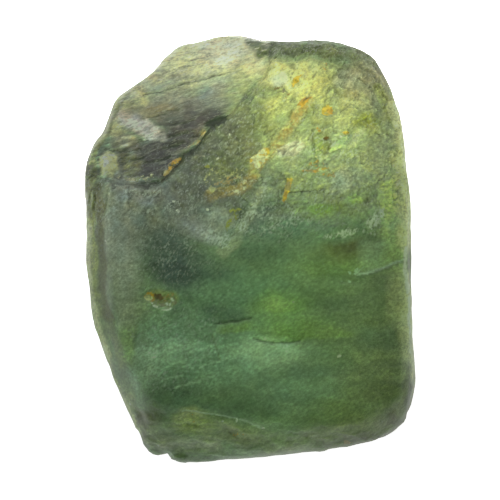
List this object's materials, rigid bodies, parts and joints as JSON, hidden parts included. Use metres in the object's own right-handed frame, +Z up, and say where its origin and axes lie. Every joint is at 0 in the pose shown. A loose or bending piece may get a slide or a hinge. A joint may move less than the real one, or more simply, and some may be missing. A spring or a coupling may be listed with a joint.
{
  "type": "rough sapphire crystal",
  "caption": "Rough green sapphire: a blocky, water-worn crystal stub with a stepped fracture across one upper corner, lying on a flat back.",
  "frame": {"origin": "on the flat resting face, under the middle of the stone's box", "axes": "+Z up out of the stone's best face, +Y along the crystal to its broken upper end, +X to the right seen from above"},
  "size_m": [0.008, 0.0104, 0.0058],
  "materials": {
    "frosted_green_sapphire": "frosted, water-worn skin on a see-through green crystal"
  },
  "bodies": {
    "root": {"sapphire_crystal": "frosted_green_sapphire"}
  },
  "joints": []
}
